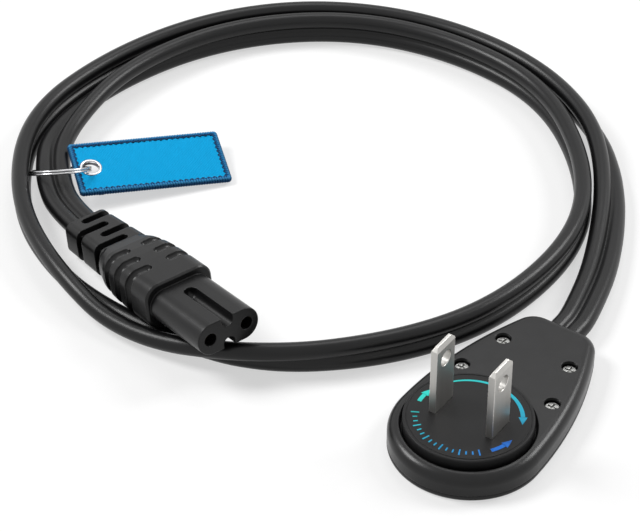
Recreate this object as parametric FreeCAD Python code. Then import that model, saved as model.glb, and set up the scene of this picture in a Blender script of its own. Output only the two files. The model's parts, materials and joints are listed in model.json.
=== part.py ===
import FreeCAD, Part
import math
import os
from FreeCAD import Placement, Rotation, Vector

# A flat plug whose two blades turn in its face, on a short flat twin cord that ends in a
# figure-eight connector, with a woven tag held to the cord by a split ring.
# Millimetres. Origin: the turning axis of the blades, on the plug's back face, which lies
# on the floor. +X runs along the housing towards the cord, +Z runs up along the blades.

# Housing, seen from the blades' side
plug_length = 52.1
plug_width = 31.2
nose_ring = 2.6
side_radius = 85.0
cord_end_corner = 5.0

# Housing, heights and walls
housing_height = 5.8
rear_cover_height = 1.2
face_wall = 1.2
side_wall = 1.1
top_edge_round = 2.2
inner_edge_round = 0.5
rear_edge_round = 0.7
parting_chamfer = 0.2
register_thickness = 0.8
register_height = 0.9
register_clearance = 0.1

# Housing screws: two near the disc, two near the cord
disc_screw_x = 14.0
disc_screw_inset = 5.3
cord_screw_from_end = 11.3
cord_screw_inset = 8.0
screw_head_radius = 1.35
screw_head_height = 0.8
screw_shank_radius = 0.85
screw_tip_height = 0.6
screw_recess_width = 0.4
screw_recess_reach = 1.05
screw_recess_depth = 0.45
counterbore_gap = 0.3
counterbore_depth = 1.7
screw_seat = 0.9
screw_hole_gap = 0.15
thread_gap = 0.02
boss_wall = 1.15

# Turning disc and its pivot
disc_proud = 1.8
disc_edge_round = 0.3
disc_opening_gap = 0.3
opening_chamfer = 0.4
flange_side_gap = 0.6
flange_end_gap = 0.15
rim_line_inset = 0.6
rim_line_width = 0.2
rim_line_depth = 0.1
pivot_radius = 2.0
pivot_height = 3.9
pivot_gap = 0.04
pivot_end_gap = 0.3
washer_width = 0.75
washer_thickness = 0.6
washer_gap = 0.1

# Blades
blade_spacing = 12.7
blade_width = 6.2
blade_thickness = 1.45
blade_length = 15.9
blade_hole_radius = 1.7
blade_hole_to_face = 11.9
blade_corner = 0.8
blade_bevel = 0.45
blade_bevel_height = 1.1
blade_slot_gap = 0.02
foot_tab_width = 4.0
foot_tab_thickness = 0.8
rivet_radius = 0.6
rivet_head_radius = 1.0
rivet_head_height = 0.4
rivet_gap = 0.02
foot_pocket_gap = 0.1

# Slip rings under the disc, and the springs that press on them
spring_space = 1.3
ring_thickness = 0.5
ring_proud = 0.2
ring_seat_gap = 0.03
inner_ring_inside = 3.4
inner_ring_width = 1.8
outer_ring_inside = 8.0
outer_ring_width = 2.0
spring_thickness = 0.3
spring_width = 2.0
spring_offset = 2.4
spring_contact_gap = 0.05
spring_rise_length = 4.5
spring_tip_length = 1.0
spring_tip_drop = 0.4
stake_share = 0.2
stake_radius = 0.5
stake_height = 0.7
stake_gap = 0.03
barrel_share = 0.435
barrel_length = 3.4
barrel_wall = 0.35
barrel_gap = 0.02
barrel_slit = 0.3
partition_thickness = 0.8
partition_height = 1.0
partition_start = 4.0

# Flat twin cord
lobe_diameter = 3.8
web_thickness = 1.4
cord_fit_gap = 0.05
cord_sink = 0.2
conductor_radius = 0.6
cord_strip_from_end = 9.5
collar_from_end = 6.9
collar_length = 3.6
collar_thickness = 0.45
collar_gap = 0.05
floor_gap = 0.05

# Connector: lengths run back from its mating face
connector_face = Vector(-9.7, 49.6, 11.6)
connector_heading = -108.3
connector_pitch = 7.7
nose_length = 17.0
nose_width = 14.4
nose_thickness = 7.0
nose_edge_round = 0.2
nose_groove_radius = 1.4
nose_groove_depth = 2.2
nose_groove_length = 14.0
pin_spacing = 8.6
pin_hole_radius = 1.4
pin_hole_depth = 3.0
body_end = 37.5
shoulder_width = 16.0
shoulder_thickness = 10.2
shoulder_bevel = 0.4
body_end_width = 12.6
body_end_thickness = 8.0
body_steps = 8
body_taper_power = 5
section_round = 3.4
grip_groove_radius = 1.1
grip_groove_depth = 1.0
grip_groove_reach = 5.1
grip_groove_start = 23.8
grip_groove_pitch = 4.3
grip_groove_count = 3
relief_width = 11.4
relief_thickness = 7.8
relief_tail_width = 10.4
relief_tail_thickness = 7.2
relief_round = 1.8
relief_length = 14.5
relief_slot_width = 2.1
relief_slot_pitch = 3.7
relief_slot_first = 1.5
relief_slot_reach = 1.0
relief_slot_count = 4
relief_skin = 0.35
cord_in_connector = 14.0
cord_end_gap = 0.4
carrier_barrel_radius = 2.5
carrier_web = 1.6
carrier_length = 20.0
carrier_gap = 0.03
socket_bore = 1.22
socket_wall = 0.35
socket_length = 11.0
socket_gap = 0.03
crimp_length = 6.0

# Tag and its split ring
tag_length = 34.0
tag_width = 15.5
tag_corner = 1.8
tag_border_width = 1.4
tag_border_thickness = 1.5
tag_border_round = 0.5
tag_panel_thickness = 0.9
tag_heading = -39.0
tag_tilt = 10.0
tag_floor_gap = 0.1
eyelet_from_end = 3.9
eyelet_bore = 1.8
eyelet_wall = 0.25
eyelet_flange = 0.4
eyelet_flange_thickness = 0.2
ring_radius = 6.6
ring_wire_radius = 0.3
ring_turn_pitch = 0.55
ring_lean = 34.0
ring_side_shift = 1.35
ring_floor_gap = 0.1
ring_tag_angle = 8.0

# Route of the cord on the floor, from the plug to the connector: (x, y, lift of its middle)
cord_route = [
    (66.0, 7.0, 0.0),
    (86.5, 18.0, 0.0),
    (103.5, 35.0, 0.0),
    (113.5, 58.0, 0.0),
    (114.0, 83.0, 0.0),
    (104.0, 108.5, 0.0),
    (84.5, 127.0, 0.0),
    (59.0, 136.5, 0.0),
    (31.0, 137.5, 0.0),
    (6.0, 125.0, 0.0),
    (-9.5, 101.0, 0.0),
    (-12.5, 72.0, 0.0),
    (-6.0, 44.0, 0.0),
    (12.0, 22.5, 0.0),
    (35.5, 13.0, 0.0),
    (63.5, 15.0, 0.0),
    (85.5, 28.5, 0.0),
    (100.0, 48.5, 0.0),
    (105.5, 74.5, 0.0),
    (99.0, 99.5, 0.0),
    (81.0, 119.5, 0.0),
    (55.5, 128.5, 0.0),
    (32.0, 126.5, 0.8),
    (18.4, 118.3, 2.4),
]
cord_exit_run = 11.5
cord_entry_run = 8.0
arc_share = 0.45

# Heights and places that follow from the sizes above
up = Vector(0, 0, 1)
face_inside = housing_height - face_wall
pad_bottom = housing_height - counterbore_depth - screw_seat
nose_radius = plug_width / 2
axis_to_cord_end = plug_length - nose_radius
disc_screw_y = nose_radius - disc_screw_inset
cord_screw_x = axis_to_cord_end - cord_screw_from_end
cord_screw_y = nose_radius - cord_screw_inset
screw_places = []
for side in (1, -1):
    screw_places.append(Vector(disc_screw_x, side * disc_screw_y, 0))
    screw_places.append(Vector(cord_screw_x, side * cord_screw_y, 0))
ring_face = rear_cover_height + spring_space
ring_top = ring_face + ring_thickness
disc_bottom = ring_face + ring_proud
flange_top = face_inside - flange_end_gap
disc_top = housing_height + disc_proud
opening_radius = nose_radius - nose_ring
disc_radius = opening_radius - disc_opening_gap
flange_radius = nose_radius - side_wall - flange_side_gap
cord_strip_x = axis_to_cord_end - cord_strip_from_end
collar_x = axis_to_cord_end - collar_from_end
stake_x = flange_radius + stake_share * (cord_strip_x - flange_radius)
barrel_x = flange_radius + barrel_share * (cord_strip_x - flange_radius)
pivot_top = rear_cover_height + pivot_height
washer_bottom = disc_bottom - washer_gap - washer_thickness
foot_top = ring_top + foot_tab_thickness
inner_ring_middle = inner_ring_inside + inner_ring_width / 2
outer_ring_middle = outer_ring_inside + outer_ring_width / 2
lobe_radius = lobe_diameter / 2
cord_width = 2 * lobe_diameter
cord_height = rear_cover_height - cord_sink + lobe_radius
lobe_offset = lobe_radius
connector_length = body_end + relief_length


def disc(radius, low, high, centre=Vector(0, 0, 0)):
    """Upright cylinder between two heights."""
    return Part.makeCylinder(radius, high - low, Vector(centre.x, centre.y, low), up)


def tube(inside, outside, low, high):
    """Upright ring about the turning axis."""
    return disc(outside, low, high).cut(disc(inside, low, high))


def block(x, y, z):
    """Box from three (low, high) pairs."""
    return Part.makeBox(x[1] - x[0], y[1] - y[0], z[1] - z[0], Vector(x[0], y[0], z[0]))


def polygon_face(points):
    return Part.Face(Part.makePolygon(points + points[:1]))


def unit(vector):
    return vector / vector.Length


def arc_edge(start, middle, end):
    return Part.Arc(start, middle, end).toShape()


def line_edge(start, end):
    return Part.LineSegment(start, end).toShape()


def edges_at_height(shape, height):
    found = []
    for edge in shape.Edges:
        box = edge.BoundBox
        if abs(box.ZMin - height) < 1e-6 and abs(box.ZMax - height) < 1e-6:
            found.append(edge)
    return found


def outline_face(inset, height):
    """Plan of the housing drawn in by an inset: round nose, two long side arcs, cord end."""
    nose = nose_radius - inset
    side = side_radius - inset
    end = axis_to_cord_end - inset
    corner = cord_end_corner - inset
    side_centre = nose_radius - side_radius
    corner_x = end - corner
    corner_y = side_centre + math.sqrt((side - corner) ** 2 - corner_x ** 2)
    lean = math.atan2(corner_x, corner_y - side_centre)
    turn = (lean + math.pi / 2) / 2

    def on_side(angle, sign):
        return Vector(side * math.sin(angle), sign * (side_centre + side * math.cos(angle)), height)

    def on_corner(angle, sign):
        x = corner_x + corner * math.sin(angle)
        return Vector(x, sign * (corner_y + corner * math.cos(angle)), height)

    edges = [
        arc_edge(on_side(0, 1), on_side(lean / 2, 1), on_side(lean, 1)),
        arc_edge(on_corner(lean, 1), on_corner(turn, 1), on_corner(math.pi / 2, 1)),
        line_edge(on_corner(math.pi / 2, 1), on_corner(math.pi / 2, -1)),
        arc_edge(on_corner(math.pi / 2, -1), on_corner(turn, -1), on_corner(lean, -1)),
        arc_edge(on_side(lean, -1), on_side(lean / 2, -1), on_side(0, -1)),
        arc_edge(on_side(0, -1), Vector(-nose, 0, height), on_side(0, 1)),
    ]
    return Part.Face(Part.Wire(edges))


def housing_block(inset, low, high):
    return outline_face(inset, low).extrude(Vector(0, 0, high - low))


def cord_section(place, across, upwards, gap=0.0):
    """Two round lobes joined by a web, grown by a gap all round."""
    radius = lobe_radius + gap
    half_web = web_thickness / 2 + gap
    reach = math.sqrt(radius ** 2 - half_web ** 2)
    inner = lobe_offset - reach

    def at(sideways, high):
        return place + across * sideways + upwards * high

    edges = [
        line_edge(at(-inner, half_web), at(inner, half_web)),
        arc_edge(at(inner, half_web), at(lobe_offset, radius), at(lobe_offset + radius, 0)),
        arc_edge(at(lobe_offset + radius, 0), at(lobe_offset, -radius), at(inner, -half_web)),
        line_edge(at(inner, -half_web), at(-inner, -half_web)),
        arc_edge(at(-inner, -half_web), at(-lobe_offset, -radius), at(-lobe_offset - radius, 0)),
        arc_edge(at(-lobe_offset - radius, 0), at(-lobe_offset, radius), at(-inner, half_web)),
    ]
    return Part.Wire(edges)


def cord_channel(low_x, high_x, gap):
    """Straight length of the cord's section along the housing."""
    section = cord_section(Vector(low_x, 0, cord_height), Vector(0, 1, 0), up, gap)
    return Part.Face(section).extrude(Vector(high_x - low_x, 0, 0))


def collar_block(gap):
    """Outside of the crimped collar, as a flat-sided oval."""
    half = lobe_radius + collar_gap + collar_thickness + gap
    length = collar_length + 2 * gap
    start = collar_x - gap
    middle = Part.makeBox(length, 2 * lobe_offset, 2 * half, Vector(start, -lobe_offset, cord_height - half))
    along = Vector(1, 0, 0)
    left = Part.makeCylinder(half, length, Vector(start, lobe_offset, cord_height), along)
    right = Part.makeCylinder(half, length, Vector(start, -lobe_offset, cord_height), along)
    return middle.fuse([left, right]).removeSplitter()


def make_front_cover():
    shell = housing_block(0, rear_cover_height, housing_height)
    shell = shell.makeFillet(top_edge_round, edges_at_height(shell, housing_height))
    shell = shell.makeChamfer(parting_chamfer, edges_at_height(shell, rear_cover_height))
    hollow = housing_block(side_wall, rear_cover_height, face_inside)
    hollow = hollow.makeFillet(inner_edge_round, edges_at_height(hollow, face_inside))
    shell = shell.cut(hollow)
    pad_radius = screw_shank_radius + screw_hole_gap + boss_wall
    pads = [disc(pad_radius, pad_bottom, housing_height - face_wall / 2, p) for p in screw_places]
    shell = shell.fuse(pads)
    cuts = [disc(opening_radius, rear_cover_height, housing_height)]
    lip = Part.makeCone(
        opening_radius, opening_radius + opening_chamfer, opening_chamfer,
        Vector(0, 0, housing_height - opening_chamfer), up)
    cuts.append(lip)
    for place in screw_places:
        cuts.append(disc(screw_shank_radius + screw_hole_gap, pad_bottom, housing_height, place))
        seat = housing_height - counterbore_depth
        cuts.append(disc(screw_head_radius + counterbore_gap, seat, housing_height, place))
    cuts.append(cord_channel(cord_strip_x, axis_to_cord_end, cord_fit_gap))
    notch_y = (-lobe_offset, lobe_offset)
    cuts.append(block((cord_strip_x, axis_to_cord_end), notch_y, (rear_cover_height, cord_height)))
    cuts.append(collar_block(collar_gap))
    return shell.cut(cuts).removeSplitter()


def make_rear_cover():
    floor = rear_cover_height
    plate = housing_block(0, 0, floor)
    plate = plate.makeFillet(rear_edge_round, edges_at_height(plate, 0))
    plate = plate.makeChamfer(parting_chamfer, edges_at_height(plate, floor))
    outer_inset = side_wall + register_clearance
    register = housing_block(outer_inset, floor, floor + register_height)
    register = register.cut(housing_block(outer_inset + register_thickness, floor, floor + register_height))
    parts = [register]
    for place in screw_places:
        parts.append(disc(screw_shank_radius + thread_gap + boss_wall, floor, pad_bottom, place))
    parts.append(disc(pivot_radius, floor, pivot_top))
    parts.append(disc(pivot_radius + washer_width, floor, washer_bottom))
    for side in (1, -1):
        peg = Vector(stake_x, side * spring_offset, 0)
        parts.append(disc(stake_radius, floor, floor + stake_height, peg))
    half = partition_thickness / 2
    parts.append(block((partition_start, cord_strip_x), (-half, half), (floor, floor + partition_height)))
    body = plate.fuse(parts)
    cuts = [disc(screw_shank_radius + thread_gap, screw_tip_height, pad_bottom, p) for p in screw_places]
    cuts.append(cord_channel(cord_strip_x, axis_to_cord_end, cord_fit_gap))
    cuts.append(collar_block(collar_gap))
    return body.cut(cuts).removeSplitter()


def make_screw(place):
    """Cross-recessed screw, its head down in the front cover's counterbore."""
    seat = housing_height - counterbore_depth
    screw = disc(screw_head_radius, seat, seat + screw_head_height, place)
    screw = screw.fuse(disc(screw_shank_radius, screw_tip_height, seat, place))
    top = seat + screw_head_height
    half = screw_recess_width / 2
    reach = screw_recess_reach
    deep = (top - screw_recess_depth, top)
    arm = block((place.x - reach, place.x + reach), (place.y - half, place.y + half), deep)
    other = block((place.x - half, place.x + half), (place.y - reach, place.y + reach), deep)
    return screw.cut([arm, other]).removeSplitter()


def make_rotor_disc():
    """Disc with a flange that the front cover traps, turned as one profile."""
    line_out = disc_radius - rim_line_inset
    line_in = line_out - rim_line_width
    shoulder = disc_radius - disc_edge_round
    bend = disc_edge_round * math.sqrt(0.5)

    def at(radius, height):
        return Vector(radius, 0, height)

    corners = [
        at(0, disc_bottom), at(flange_radius, disc_bottom), at(flange_radius, flange_top),
        at(disc_radius, flange_top), at(disc_radius, disc_top - disc_edge_round),
    ]
    edges = [line_edge(a, b) for a, b in zip(corners, corners[1:])]
    middle = at(shoulder + bend, disc_top - disc_edge_round + bend)
    edges.append(arc_edge(corners[-1], middle, at(shoulder, disc_top)))
    rest = [
        at(shoulder, disc_top), at(line_out, disc_top), at(line_out, disc_top - rim_line_depth),
        at(line_in, disc_top - rim_line_depth), at(line_in, disc_top), at(0, disc_top), at(0, disc_bottom),
    ]
    edges += [line_edge(a, b) for a, b in zip(rest, rest[1:])]
    body = Part.Face(Part.Wire(edges)).revolve(Vector(0, 0, 0), up, 360)
    cuts = [disc(pivot_radius + pivot_gap, disc_bottom, pivot_top + pivot_end_gap)]
    for inside, width in ((inner_ring_inside, inner_ring_width), (outer_ring_inside, outer_ring_width)):
        cuts.append(tube(inside - ring_seat_gap, inside + width + ring_seat_gap, disc_bottom, ring_top))
    half_width = blade_width / 2 + blade_slot_gap
    half_thick = blade_thickness / 2 + blade_slot_gap
    pocket_half = foot_tab_width / 2 + foot_pocket_gap
    pocket_top = foot_top + rivet_head_height + foot_pocket_gap
    for side, tab_end in ((1, inner_ring_inside), (-1, outer_ring_inside + outer_ring_width)):
        middle_y = side * blade_spacing / 2
        across = (middle_y - half_thick, middle_y + half_thick)
        cuts.append(block((-half_width, half_width), across, (disc_bottom, disc_top)))
        near, far = sorted((middle_y, side * tab_end))
        across = (near - foot_pocket_gap, far + foot_pocket_gap)
        cuts.append(block((-pocket_half, pocket_half), across, (disc_bottom, pocket_top)))
    return body.cut(cuts).removeSplitter()


def make_blade(side, tab_end, rivet_y):
    """Stamped blade with a bevelled tip, a hole, and a foot folded over its slip ring."""
    middle = side * blade_spacing / 2
    half_w = blade_width / 2
    half_t = blade_thickness / 2
    tip = disc_top + blade_length
    shoulder = tip - blade_corner
    bevel_start = tip - blade_bevel_height

    def on_face(x, high):
        return Vector(x, middle - half_t, high)

    def on_edge(across, high):
        return Vector(-half_w, middle + across, high)

    flat = polygon_face([
        on_face(-half_w, ring_top), on_face(half_w, ring_top),
        on_face(half_w, shoulder), on_face(half_w - blade_corner, tip),
        on_face(blade_corner - half_w, tip), on_face(-half_w, shoulder),
    ]).extrude(Vector(0, blade_thickness, 0))
    edge_on = polygon_face([
        on_edge(-half_t, ring_top), on_edge(half_t, ring_top),
        on_edge(half_t, bevel_start), on_edge(half_t - blade_bevel, tip),
        on_edge(blade_bevel - half_t, tip), on_edge(-half_t, bevel_start),
    ]).extrude(Vector(blade_width, 0, 0))
    near, far = sorted((middle, side * tab_end))
    half_tab = foot_tab_width / 2
    tab = block((-half_tab, half_tab), (near, far), (ring_top, foot_top))
    blade = flat.common(edge_on).fuse(tab)
    hole_place = Vector(0, middle - half_t, disc_top + blade_hole_to_face)
    hole = Part.makeCylinder(blade_hole_radius, blade_thickness, hole_place, Vector(0, 1, 0))
    rivet_hole = disc(rivet_radius + rivet_gap, ring_top, foot_top, Vector(0, side * rivet_y, 0))
    return blade.cut([hole, rivet_hole]).removeSplitter()


def make_slip_ring(inside, width, side, middle):
    hole = disc(rivet_radius + rivet_gap, ring_face, ring_top, Vector(0, side * middle, 0))
    return tube(inside, inside + width, ring_face, ring_top).cut(hole)


def make_rivet(side, middle):
    place = Vector(0, side * middle, 0)
    shank = disc(rivet_radius, ring_face, foot_top, place)
    head = disc(rivet_head_radius, foot_top, foot_top + rivet_head_height, place)
    return shank.fuse(head).removeSplitter()


def make_contact_spring(side, ring_middle):
    """Leaf spring staked to the rear cover, bowed up to a slip ring, crimped to the cord."""
    floor = rear_cover_height
    contact_x = math.sqrt(ring_middle ** 2 - spring_offset ** 2)
    contact_z = ring_face - spring_contact_gap
    low_y = side * spring_offset - spring_width / 2
    tip_x = contact_x - spring_tip_length
    outline = [
        (barrel_x, floor), (contact_x + spring_rise_length, floor),
        (contact_x, contact_z - spring_thickness), (tip_x, contact_z - spring_tip_drop - spring_thickness),
        (tip_x, contact_z - spring_tip_drop), (contact_x, contact_z),
        (contact_x + spring_rise_length, floor + spring_thickness), (barrel_x, floor + spring_thickness),
    ]
    strip = polygon_face([Vector(x, low_y, z) for x, z in outline]).extrude(Vector(0, spring_width, 0))
    barrel_inside = conductor_radius + barrel_gap
    barrel_outside = barrel_inside + barrel_wall
    barrel_y = side * lobe_offset
    start = Vector(barrel_x, barrel_y, cord_height)
    along = Vector(1, 0, 0)
    barrel = Part.makeCylinder(barrel_outside, barrel_length, start, along)
    neck_z = (floor, cord_height - barrel_inside)
    neck_y = (barrel_y - conductor_radius, barrel_y + conductor_radius)
    neck = block((barrel_x - spring_thickness, barrel_x), neck_y, neck_z)
    foot = block((barrel_x, barrel_x + spring_thickness), neck_y, (cord_height - barrel_outside, neck_z[1]))
    spring = strip.fuse([barrel, neck, foot])
    bore = Part.makeCylinder(barrel_inside, barrel_length, start, along)
    half_slit = barrel_slit / 2
    slit_z = (cord_height, cord_height + barrel_outside)
    slit = block((barrel_x, barrel_x + barrel_length), (barrel_y - half_slit, barrel_y + half_slit), slit_z)
    peg = Vector(stake_x, side * spring_offset, 0)
    hole = disc(stake_radius + stake_gap, floor, floor + spring_thickness, peg)
    return spring.cut([bore, slit, hole]).removeSplitter()


def make_lead_end(side):
    """Bare end of one conductor, from the cut cord into its spring's barrel."""
    start = Vector(barrel_x, side * lobe_offset, cord_height)
    return Part.makeCylinder(conductor_radius, cord_strip_x - barrel_x, start, Vector(1, 0, 0))


def make_collar():
    passage = cord_channel(collar_x, collar_x + collar_length, collar_gap)
    return collar_block(0).cut(passage)


def make_washer():
    inside = pivot_radius + pivot_gap
    return tube(inside, pivot_radius + washer_width, washer_bottom, washer_bottom + washer_thickness)


def connector_placement():
    """Nose along local +X with its mating face at the local origin, tipped up at the nose."""
    turn = Rotation(up, connector_heading).multiply(Rotation(Vector(0, 1, 0), -connector_pitch))
    return Placement(connector_face, turn)


def in_connector(back, sideways=0.0, high=0.0):
    """Point of the connector, given how far back from its mating face it lies."""
    return connector_placement().multVec(Vector(-back, sideways, high))


def seat_in_place(shape):
    shape.Placement = connector_placement().multiply(shape.Placement)
    return shape


def rounded_section(back, width, thickness, radius):
    """Rounded rectangle across the connector."""
    half_w = width / 2
    half_t = thickness / 2
    edges = []
    centres = [(1, 1, 0), (-1, 1, 90), (-1, -1, 180), (1, -1, 270)]
    ends = []
    for y_sign, z_sign, first in centres:
        centre_y = y_sign * (half_w - radius)
        centre_z = z_sign * (half_t - radius)
        points = []
        for angle in (first, first + 45, first + 90):
            turn = math.radians(angle)
            y = centre_y + radius * math.cos(turn)
            z = centre_z + radius * math.sin(turn)
            points.append(Vector(-back, y, z))
        ends.append((points[0], points[2]))
        edges.append(arc_edge(*points))
    wire = []
    for index, arc in enumerate(edges):
        wire.append(arc)
        wire.append(line_edge(ends[index][1], ends[(index + 1) % 4][0]))
    return Part.Wire(wire)


def nose_groove():
    """Round-bottomed slot along the nose, open at the mating face and round at its other end."""
    radius = nose_groove_radius
    end = Vector(radius - nose_groove_length, 0, nose_thickness / 2 - nose_groove_depth + radius)
    high = nose_thickness
    bottom = Part.makeCylinder(radius, -end.x, end, Vector(1, 0, 0))
    sides = block((end.x, 0), (-radius, radius), (end.z, high))
    return bottom.fuse([sides, Part.makeSphere(radius, end), disc(radius, end.z, high, end)])


def connector_nose():
    """Flat-sided oval nose, waisted by a groove along its top and underside."""
    radius = nose_thickness / 2
    half = nose_width / 2 - radius
    back = nose_length + shoulder_bevel
    along = Vector(1, 0, 0)
    middle = block((-back, 0), (-half, half), (-radius, radius))
    rounds = [Part.makeCylinder(radius, back, Vector(-back, y, 0), along) for y in (half, -half)]
    nose = middle.fuse(rounds).removeSplitter()
    front = [e for e in nose.Edges if abs(e.BoundBox.XMin) < 1e-6]
    nose = nose.makeFillet(nose_edge_round, front)
    groove = nose_groove()
    return nose.cut([groove, groove.mirror(Vector(0, 0, 0), up)])


def body_size(back):
    """Width and thickness of the body, which narrows late on its way to the strain relief."""
    first = nose_length + shoulder_bevel
    ease = ((back - first) / (body_end - first)) ** body_taper_power
    width = shoulder_width + ease * (body_end_width - shoulder_width)
    thickness = shoulder_thickness + ease * (body_end_thickness - shoulder_thickness)
    return width, thickness


def connector_shell():
    """Main body: a bevelled shoulder, then sections that ease down to the strain relief."""
    first = nose_length + shoulder_bevel
    bevel = 2 * shoulder_bevel
    round_in = section_round - shoulder_bevel
    sections = [rounded_section(nose_length, shoulder_width - bevel, shoulder_thickness - bevel, round_in)]
    for step in range(body_steps):
        back = first + (body_end - first) * step / (body_steps - 1)
        sections.append(rounded_section(back, *body_size(back), section_round))
    return Part.makeLoft(sections, True, True)


def grip_groove(back, side):
    """Round groove that wraps one side of the body and ends in a dimple above and below."""
    width, thickness = body_size(back)
    lift = grip_groove_radius - grip_groove_depth
    half_t = thickness / 2 + lift
    corner = section_round + lift
    turn_y = width / 2 + lift - corner
    turn_z = half_t - corner
    inner_y = width / 2 - grip_groove_reach

    def at(y, z):
        return Vector(-back, side * y, z)

    bend = corner * math.sqrt(0.5)
    path = Part.Wire([
        line_edge(at(inner_y, half_t), at(turn_y, half_t)),
        arc_edge(at(turn_y, half_t), at(turn_y + bend, turn_z + bend), at(turn_y + corner, turn_z)),
        line_edge(at(turn_y + corner, turn_z), at(turn_y + corner, -turn_z)),
        arc_edge(at(turn_y + corner, -turn_z), at(turn_y + bend, -turn_z - bend), at(turn_y, -half_t)),
        line_edge(at(turn_y, -half_t), at(inner_y, -half_t)),
    ])
    round_wire = Part.Wire(Part.makeCircle(grip_groove_radius, at(inner_y, half_t), Vector(0, 1, 0)))
    groove = path.makePipeShell([round_wire], True, False)
    dimples = [Part.makeSphere(grip_groove_radius, at(inner_y, sign * half_t)) for sign in (1, -1)]
    return [groove] + dimples


def grip_grooves():
    cuts = []
    for index in range(grip_groove_count):
        back = grip_groove_start + index * grip_groove_pitch
        cuts += grip_groove(back, 1) + grip_groove(back, -1)
    return cuts


def strain_relief():
    """Tapered tail with slots cut into it from alternate sides."""
    tail = connector_length
    near = rounded_section(body_end, relief_width, relief_thickness, relief_round)
    far = rounded_section(tail, relief_tail_width, relief_tail_thickness, relief_round)
    relief = Part.makeLoft([near, far], True, True)
    cuts = []
    beside_cord = cord_width / 2 + relief_skin
    over_cord = lobe_radius + relief_skin
    half_slot = relief_slot_width / 2
    for index in range(relief_slot_count):
        side = -1 if index % 2 == 0 else 1
        middle = -(body_end + relief_slot_first + index * relief_slot_pitch)
        x_pair = (middle - half_slot, middle + half_slot)
        y_pair = sorted((side * beside_cord, side * relief_width))
        cuts.append(block(x_pair, y_pair, (-relief_thickness, relief_thickness)))
        y_pair = sorted((-side * relief_slot_reach, side * relief_width))
        end = Vector(middle, -side * relief_slot_reach, 0)
        for low, high in ((over_cord, relief_thickness), (-relief_thickness, -over_cord)):
            cuts.append(block(x_pair, y_pair, (low, high)))
            cuts.append(disc(half_slot, low, high, end))
    return relief.cut(cuts)


def local_cord(gap):
    """The cord's last straight stretch, inside the strain relief."""
    start = Vector(-connector_length, 0, 0)
    section = cord_section(start, Vector(0, 1, 0), up, gap)
    return Part.Face(section).extrude(Vector(cord_in_connector + cord_end_gap, 0, 0))


def local_lead(side, radius):
    """One conductor from the cut cord to its socket contact."""
    start = Vector(cord_in_connector + cord_end_gap - connector_length, side * lobe_offset, 0)
    end = Vector(-(pin_hole_depth + socket_length + crimp_length / 2), side * pin_spacing / 2, 0)
    return Part.makeCylinder(radius, (end - start).Length, start, end - start)


def carrier_block(gap):
    """Two barrels round the pins' lines, joined by a web under the nose's grooves."""
    half_w = pin_spacing / 2
    half_t = carrier_web / 2 + gap
    front = pin_hole_depth - gap
    length = carrier_length + 2 * gap
    web = block((-front - length, -front), (-half_w, half_w), (-half_t, half_t))
    barrels = [along_pin(side, carrier_barrel_radius + gap, front, length) for side in (1, -1)]
    return web.fuse(barrels).removeSplitter()


def along_pin(side, radius, front, length):
    """Cylinder on a pin's line, from a distance behind the mating face."""
    start = Vector(-front - length, side * pin_spacing / 2, 0)
    return Part.makeCylinder(radius, length, start, Vector(1, 0, 0))


def make_connector_body():
    shell = connector_shell().cut(grip_grooves())
    body = connector_nose().fuse([shell, strain_relief()])
    cuts = [carrier_block(carrier_gap), local_cord(cord_fit_gap)]
    for side in (1, -1):
        cuts.append(along_pin(side, pin_hole_radius, 0, pin_hole_depth))
        cuts.append(local_lead(side, conductor_radius + barrel_gap))
    return seat_in_place(body.cut(cuts).removeSplitter())


def make_contact_carrier():
    carrier = carrier_block(0)
    cuts = []
    socket_radius = socket_bore + socket_wall + socket_gap
    for side in (1, -1):
        cuts.append(along_pin(side, socket_radius, pin_hole_depth, socket_length + crimp_length))
        cuts.append(local_lead(side, conductor_radius + barrel_gap))
    return seat_in_place(carrier.cut(cuts).removeSplitter())


def make_socket_contact(side):
    """Turned socket for one pin, with a crimp bore for the conductor at its back."""
    radius = socket_bore + socket_wall
    length = socket_length + crimp_length
    body = along_pin(side, radius, pin_hole_depth, length)
    bore = along_pin(side, socket_bore, pin_hole_depth, socket_length)
    return seat_in_place(body.cut([bore, local_lead(side, conductor_radius + barrel_gap)]))


def make_connector_lead(side):
    return seat_in_place(local_lead(side, conductor_radius))


def route_points():
    """The cord's corner points, from inside the plug to inside the connector."""
    exit_x = axis_to_cord_end + cord_exit_run
    points = [Vector(cord_strip_x, 0, cord_height), Vector(exit_x, 0, cord_height)]
    points += [Vector(x, y, lobe_radius + floor_gap + lift) for x, y, lift in cord_route]
    points.append(in_connector(connector_length + cord_entry_run))
    points.append(in_connector(connector_length - cord_in_connector))
    return points


def corner_arc(before, corner, after):
    """Start, middle, end and radius of the arc that rounds one corner of the route."""
    back = before - corner
    on = after - corner
    turn = math.pi - back.getAngle(on)
    cut = arc_share * min(back.Length, on.Length)
    radius = cut / math.tan(turn / 2)
    to_arc = radius / math.cos(turn / 2) - radius
    middle = corner + unit(unit(back) + unit(on)) * to_arc
    return corner + unit(back) * cut, middle, corner + unit(on) * cut, radius


def cord_path(points):
    """Straight runs joined by tangent arcs that are as large as their runs allow."""
    edges = []
    radii = []
    start = points[0]
    for before, corner, after in zip(points, points[1:], points[2:]):
        first, middle, last, radius = corner_arc(before, corner, after)
        edges.append(line_edge(start, first))
        edges.append(arc_edge(first, middle, last))
        radii.append(radius)
        start = last
    edges.append(line_edge(start, points[-1]))
    return Part.Wire(edges), radii


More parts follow.
